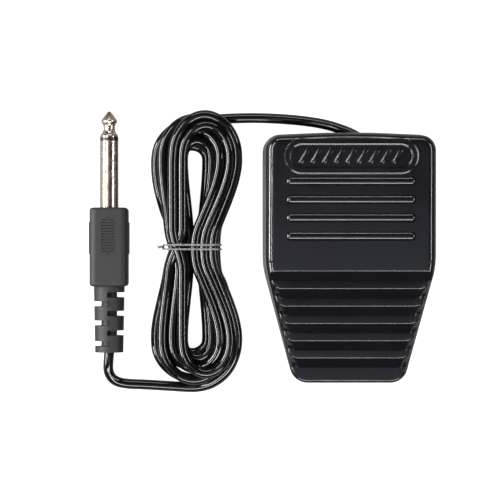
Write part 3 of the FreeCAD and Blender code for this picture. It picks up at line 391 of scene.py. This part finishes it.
# Each turn: left strand's x and z in the lobe, then x and z at the waist; the same for its right
# strand; then how far the lobe reaches and its height at the far end.
TURNS = {
    "low_outer": ((-66.8, 1.75, -61.8, 1.9), (-40.2, 1.75, -45.9, 1.9), 44.4, 1.75),
    "low_middle": ((-63.2, 1.75, -58.2, 1.9), (-43.9, 1.75, -48.4, 1.9), 40.2, 1.75),
    "low_inner": ((-59.4, 1.75, -54.6, 1.9), (-48.9, 1.75, -51.2, 1.9), 35.8, 1.75),
    "mid_inner": ((-57.2, 4.9, -54.9, 5.1), (-47.3, 4.7, -50.8, 5.1), 37.4, 4.9),
    "mid_middle": ((-60.8, 5.2, -58.3, 5.1), (-44.4, 8.0, -54.0, 8.3), 40.9, 5.3),
    "mid_outer": ((-64.4, 5.2, -61.7, 5.1), (-42.2, 4.9, -46.4, 5.1), 44.8, 5.1),
    "top_inner": ((-57.3, 8.3, -57.2, 8.3), (-40.9, 8.7, -50.9, 8.4), 42.4, 8.6),
    "top_outer": ((-60.7, 8.6, -60.6, 8.3), (-38.4, 7.2, -47.7, 8.3), 45.8, 8.65),
}


def strand_points(strand, spread, side):
    """One strand from the waist out to its lobe; side is +1 for the heel lobe, -1 for the toe lobe."""
    lobe_x, lobe_z, waist_x, waist_z = strand
    points = []
    for along, share in spread:
        x = waist_x + (lobe_x - waist_x) * share
        z = waist_z + (lobe_z - waist_z) * share
        points.append((x, HANK_Y + side * along, z))
    return points


def cap_points(turn, side):
    """The round end of a lobe, from its left strand over to its right one."""
    left, right, reach, far_z = turn
    middle = (left[0] + right[0]) / 2.0
    half = (right[0] - left[0]) / 2.0
    points = []
    for angle in CAP_ANGLES:
        turned = math.radians(angle)
        lift = math.sin(turned)
        near_z = left[1] if angle < 90.0 else right[1]
        x = middle - half * math.cos(turned) * CAP_SWELL
        along = CAP_START + (reach - CAP_START) * lift * CAP_SWELL
        points.append((x, HANK_Y + side * along, near_z + (far_z - near_z) * lift))
    return points


def lobe_points(name, side):
    """A whole lobe: heel lobes run from left to right, toe lobes from right to left."""
    turn = TURNS[name]
    left = strand_points(turn[0], LEFT_SPREAD, side)
    right = strand_points(turn[1], RIGHT_SPREAD, side)
    points = left + cap_points(turn, side) + right[::-1]
    return points if side > 0 else points[::-1]


def hank_route():
    """Control points of the whole hank, from the pedal's tail to the plug's tail."""
    # The first strand goes down the left of the heel lobe and crosses to the right under the waist.
    points = [
        (-50.5, 47.6, 1.75), (-57.0, 46.6, 1.75), (-62.4, 43.6, 1.75), (-65.8, 39.0, 1.75),
        (-66.8, 33.5, 1.75), (-66.3, 26.0, 1.75), (-64.6, 19.0, 1.75), (-62.4, 12.5, 1.75),
        (-58.5, 7.0, 1.8), (-51.0, 1.0, 1.8), (-46.6, -4.5, 1.8),
    ]
    points += lobe_points("low_outer", -1)[1:]
    order = ("low_middle", "low_inner", "mid_inner", "mid_middle", "mid_outer", "top_inner")
    for name in order:
        points += lobe_points(name, 1)
        points += lobe_points(name, -1)
    points += lobe_points("top_outer", 1)
    points += strand_points(TURNS["top_outer"][1], RIGHT_SPREAD, -1)
    points += [(-38.9, -33.6, 6.4), (-41.6, -39.4, 5.0), (-46.4, -43.4, 3.4), (-51.0, -44.9, 2.1)]
    return points


def cord_route():
    """The cord from its clamp in the pedal to the plug's boot."""
    return [Vector(p) * MM for p in PEDAL_TAIL[:-1] + hank_route() + PLUG_TAIL]


TUBE_STEPS_ALONG = 8
TUBE_STEPS_ROUND = 7


def nurbs_tube(name, points, radius, maker):
    """Round cord along a smooth open spline through its control points."""
    data = bpy.data.curves.new(name, "CURVE")
    data.dimensions = "3D"
    spline = data.splines.new("NURBS")
    spline.points.add(len(points) - 1)
    for slot, point in zip(spline.points, points):
        slot.co = (*point, 1.0)
    spline.order_u = 3
    spline.use_endpoint_u = True
    spline.resolution_u = TUBE_STEPS_ALONG
    data.bevel_depth = radius
    data.bevel_resolution = TUBE_STEPS_ROUND
    data.use_fill_caps = True
    piece = bpy.data.objects.new(name, data)
    bpy.context.scene.collection.objects.link(piece)
    data.materials.append(finish_of(maker))
    return piece


# Sizes of single parts ------------------------------------------------------------------------
BOOT_EDGE = 0.35
TIE_WIRE_RADIUS = 0.32
TIE_LEFT = -63.9
TIE_RIGHT = -44.0
TIE_BOTTOM = 0.4
TIE_TOP = 10.65
TIE_CORNER = 2.4
# The strands lie a little lower under the right half of the tie.
TIE_RIGHT_DROP = 0.3
# The two ends are twisted together at the left: points, how far each turns and how far apart they are.
TWIST_POINTS = 5
TWIST_TURN = 2.1
TWIST_STEP = 0.4
TWIST_RADIUS = 0.4
TWIST_LENGTH = 1.9
TWIST_Z = 8.2


def twist_point(x, angle):
    """A point of the tie's twisted end, turned about the twist's middle line."""
    return (x, TIE_Y + TWIST_RADIUS * math.cos(angle), TWIST_Z + TWIST_RADIUS * math.sin(angle))


def tie_turn(y):
    """One turn of the tie round the waist, from the top left corner clockwise back to the left side."""
    cut = 0.3 * TIE_CORNER
    right_top = TIE_TOP - TIE_RIGHT_DROP
    return [
        (TIE_LEFT, y, TIE_TOP - TIE_CORNER), (TIE_LEFT + cut, y, TIE_TOP - cut),
        (TIE_LEFT + TIE_CORNER, y, TIE_TOP),
        (TIE_RIGHT - TIE_CORNER, y, right_top), (TIE_RIGHT - cut, y, right_top - cut),
        (TIE_RIGHT, y, right_top - TIE_CORNER), (TIE_RIGHT, y, TIE_BOTTOM + TIE_CORNER),
        (TIE_RIGHT - cut, y, TIE_BOTTOM + cut), (TIE_RIGHT - TIE_CORNER, y, TIE_BOTTOM),
        (TIE_LEFT + TIE_CORNER, y, TIE_BOTTOM), (TIE_LEFT + cut, y, TIE_BOTTOM + cut),
        (TIE_LEFT, y, TIE_BOTTOM + TIE_CORNER),
    ]


# Settings -------------------------------------------------------------------------------------
class CordSettings(bpy.types.PropertyGroup):
    """Sizes of the free cord."""
    diameter: bpy.props.FloatProperty(
        name="Diameter", description="Outer diameter of the cord's jacket", default=0.0035, unit="LENGTH")
    length: bpy.props.FloatProperty(
        name="Length", description="Length of the laid cord from the pedal to the plug's boot", default=1.53,
        unit="LENGTH")


class ShellSettings(bpy.types.PropertyGroup):
    """Edge roundings of the shells and small parts."""
    badge_edge: bpy.props.FloatProperty(
        name="Badge edge", description="Rounding of the badge's raised edges, in millimetres", default=0.22)
    base_edge: bpy.props.FloatProperty(
        name="Base edge", description="Rounding of the base's moulded edges, in millimetres", default=0.3)
    small_edge: bpy.props.FloatProperty(
        name="Small edge", description="Rounding of the edges of small parts, in millimetres", default=0.12)


class StageSettings(bpy.types.PropertyGroup):
    """Camera and lights."""
    camera_height: bpy.props.FloatProperty(
        name="Camera height", description="Height of the camera above the floor", default=0.75,
        unit="LENGTH")
    view_width: bpy.props.FloatProperty(
        name="View width", description="Width of floor that the camera sees", default=0.1714, unit="LENGTH")
    view_centre: bpy.props.FloatVectorProperty(
        name="View centre", description="Point of the floor in the middle of the picture", size=2,
        default=(-0.03403, 0.00249), subtype="XYZ")


# Operators ------------------------------------------------------------------------------------
class PEDAL_OT_shells(bpy.types.Operator):
    """Finish the cover and the base tray."""
    bl_idname = "pedal.shells"
    bl_label = "Pedal shells"

    def execute(self, context):
        settings = context.scene.pedal_shells
        cover = rounded_copy("pedal_cover", polished_abs, 0.0, angle=20.0, badge_mm=settings.badge_edge)
        tray = rounded_copy("base_tray", satin_abs, settings.base_edge, segments=2, angle=40.0)
        return {"FINISHED"}


class PEDAL_OT_feet(bpy.types.Operator):
    """Finish the rubber feet, the stop pads and the grommet."""
    bl_idname = "pedal.feet"
    bl_label = "Rubber parts"

    def execute(self, context):
        edge = context.scene.pedal_shells.small_edge
        names = [name for name in frame["nodes"] if name.startswith("rubber_foot")]
        for name in names + ["stop_pads", "cord_grommet"]:
            piece = rounded_copy(name, nitrile_rubber, edge)
        return {"FINISHED"}


class PEDAL_OT_mechanism(bpy.types.Operator):
    """Finish the hinge, springs, switch, wires and clamp."""
    bl_idname = "pedal.mechanism"
    bl_label = "Mechanism"

    def execute(self, context):
        edge = context.scene.pedal_shells.small_edge
        steel = ("hinge_pin", "hinge_pin_clips", "switch_screws", "clamp_screws", "switch_nuts")
        for name in steel:
            rounded_copy(name, zinc_steel, edge * 0.6, segments=2)
        for name in ("microswitch_lever", "microswitch_pin"):
            coat_node(name, zinc_steel)
        for name in ("return_spring_left", "return_spring_right"):
            coat_node(name, spring_wire)
        rounded_copy("microswitch_case", phenolic_case, edge)
        rounded_copy("microswitch_terminals", tinned_brass, edge * 0.5, segments=2)
        coat_node("microswitch_plunger", red_acetal)
        coat_node("switch_wire_signal", white_pvc)
        coat_node("switch_wire_ground", cord_jacket)
        rounded_copy("cord_clamp", satin_abs, edge)
        return {"FINISHED"}


class PEDAL_OT_plug(bpy.types.Operator):
    """Finish the jack plug."""
    bl_idname = "pedal.plug"
    bl_label = "Jack plug"

    def execute(self, context):
        edge = context.scene.pedal_shells.small_edge
        rounded_copy("plug_tip", polished_nickel, edge * 0.5, segments=2, angle=45.0)
        rounded_copy("plug_sleeve", polished_nickel, edge, segments=2)
        rounded_copy("plug_insulator", insulator_nylon, 0.0)
        rounded_copy("plug_handle", textured_pvc, 0.0)
        rounded_copy("plug_boot", textured_pvc, BOOT_EDGE)
        return {"FINISHED"}


class PEDAL_OT_cord(bpy.types.Operator):
    """Lay the cord from the pedal through its hank to the plug."""
    bl_idname = "pedal.cord"
    bl_label = "Cord"

    def execute(self, context):
        settings = context.scene.pedal_cord
        cord = nurbs_tube("cord", cord_route(), settings.diameter / 2.0, cord_jacket)
        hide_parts("cord_tail_pedal", "cord_hank", "cord_tail_plug")
        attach(cord, "base")
        return {"FINISHED"}


class PEDAL_OT_tie(bpy.types.Operator):
    """Wind the tie wire round the waist of the hank and twist its ends."""
    bl_idname = "pedal.tie"
    bl_label = "Hank tie"

    def execute(self, context):
        points = []
        for i in range(TWIST_POINTS):
            points.append(twist_point(TIE_LEFT - TWIST_LENGTH + TWIST_STEP * i, i * TWIST_TURN))
        for y in (TIE_Y - TIE_PITCH / 2.0, TIE_Y + TIE_PITCH / 2.0):
            points += tie_turn(y)
        for i in range(TWIST_POINTS):
            points.append(twist_point(TIE_LEFT - TWIST_STEP * i, i * TWIST_TURN + math.pi))
        points = [Vector(point) * MM for point in points]
        tie = nurbs_tube("hank_tie_wire", points, TIE_WIRE_RADIUS * MM, clear_tie_jacket)
        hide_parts("hank_tie")
        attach(tie, "base")
        return {"FINISHED"}


# Narrow strips round the object draw thin lines on the cord and edges: name, place from the middle of
# the view, size and power.
STRIPS = (
    ("left_low_strip", (-0.95, 0.05, 0.42), (0.9, 0.15), 17.0),
    ("left_high_strip", (-0.50, 0.05, 0.80), (0.9, 0.07), 6.0),
    ("right_strip", (0.75, 0.05, 0.62), (0.9, 0.07), 4.5),
    ("heel_strip", (0.0, 0.9, 0.55), (0.9, 0.10), 3.5),
    ("toe_strip", (0.05, -0.66, 0.72), (0.9, 0.16), 8.0),
)
# Panels above the camera face straight down, where the plateau and the plug mirror them.
PANELS = (
    ("toe_panel", (0.08, -0.38, 1.2), (0.5, 0.56), 0.7, "#dfe4ff"),
    ("plug_panel", (-0.27, 0.0, 1.2), (0.24, 0.6), 0.4, "#fff0e0"),
)
WORLD_STRENGTH = 0.03
FLOOR_HALF_SIZE = 3.0
SENSOR_WIDTH = 36.0
# The view's width is kept at this height, near the middle of the object's own.
FOCUS_HEIGHT = 0.010


def area_light(name, place, target, size, power, colour="#ffffff"):
    """Rectangular softbox aimed at a point."""
    data = bpy.data.lights.new(name, "AREA")
    data.shape = "RECTANGLE"
    data.size = size[0]
    data.size_y = size[1]
    data.energy = power
    data.color = linear(colour)[:3]
    light = bpy.data.objects.new(name, data)
    light.location = place
    light.rotation_euler = (Vector(target) - Vector(place)).to_track_quat("-Z", "Y").to_euler()
    bpy.context.scene.collection.objects.link(light)
    return light


class PEDAL_OT_stage(bpy.types.Operator):
    """Make the floor, the softboxes and the camera."""
    bl_idname = "pedal.stage"
    bl_label = "Stage"

    def execute(self, context):
        settings = context.scene.pedal_stage
        centre = Vector((*settings.view_centre, 0.0))
        source = bmesh.new()
        bmesh.ops.create_grid(source, x_segments=2, y_segments=2, size=FLOOR_HALF_SIZE)
        floor = new_piece("floor", source, white_sweep)
        world = bpy.data.worlds.new("studio")
        world.use_nodes = True
        background = world.node_tree.nodes["Background"]
        background.inputs["Color"].default_value = linear("#dfe3e8")
        background.inputs["Strength"].default_value = WORLD_STRENGTH
        context.scene.world = world
        for name, place, size, power in STRIPS:
            area_light(name, centre + Vector(place), centre, size, power)
        for name, place, size, power, colour in PANELS:
            area_light(name, place, (place[0], place[1], 0.0), size, power, colour)
        data = bpy.data.cameras.new("camera")
        camera = bpy.data.objects.new("camera", data)
        data.sensor_width = SENSOR_WIDTH
        data.lens = SENSOR_WIDTH * (settings.camera_height - FOCUS_HEIGHT) / settings.view_width
        camera.location = centre + Vector((0.0, 0.0, settings.camera_height))
        context.scene.collection.objects.link(camera)
        context.scene.camera = camera
        context.scene.view_settings.view_transform = "Standard"
        return {"FINISHED"}


class PEDAL_PT_panel(bpy.types.Panel):
    """Lists the builders of the pedal's pieces."""
    bl_label = "Foot Switch Pedal"
    bl_idname = "PEDAL_PT_panel"
    bl_space_type = "VIEW_3D"
    bl_region_type = "UI"
    bl_category = "Pedal"

    def draw(self, context):
        scene = context.scene
        for group in (scene.pedal_shells, scene.pedal_cord, scene.pedal_stage):
            for name in group.__annotations__:
                self.layout.prop(group, name)
        for operator in OPERATORS:
            self.layout.operator(operator.bl_idname)


OPERATORS = (PEDAL_OT_shells, PEDAL_OT_feet, PEDAL_OT_mechanism, PEDAL_OT_plug, PEDAL_OT_tie, PEDAL_OT_cord,
             PEDAL_OT_stage)
CLASSES = (CordSettings, ShellSettings, StageSettings) + OPERATORS + (PEDAL_PT_panel,)


def register():
    """Register the classes and the scene's settings."""
    for cls in CLASSES:
        bpy.utils.register_class(cls)
    bpy.types.Scene.pedal_cord = bpy.props.PointerProperty(type=CordSettings)
    bpy.types.Scene.pedal_shells = bpy.props.PointerProperty(type=ShellSettings)
    bpy.types.Scene.pedal_stage = bpy.props.PointerProperty(type=StageSettings)


def unregister():
    """Remove the settings and the classes."""
    del bpy.types.Scene.pedal_stage
    del bpy.types.Scene.pedal_shells
    del bpy.types.Scene.pedal_cord
    for cls in reversed(CLASSES):
        bpy.utils.unregister_class(cls)


def main():
    """Build every piece in order."""
    register()
    bpy.ops.pedal.shells()
    bpy.ops.pedal.feet()
    bpy.ops.pedal.mechanism()
    bpy.ops.pedal.plug()
    bpy.ops.pedal.tie()
    bpy.ops.pedal.cord()
    bpy.ops.pedal.stage()


if __name__ == "__main__":
    main()
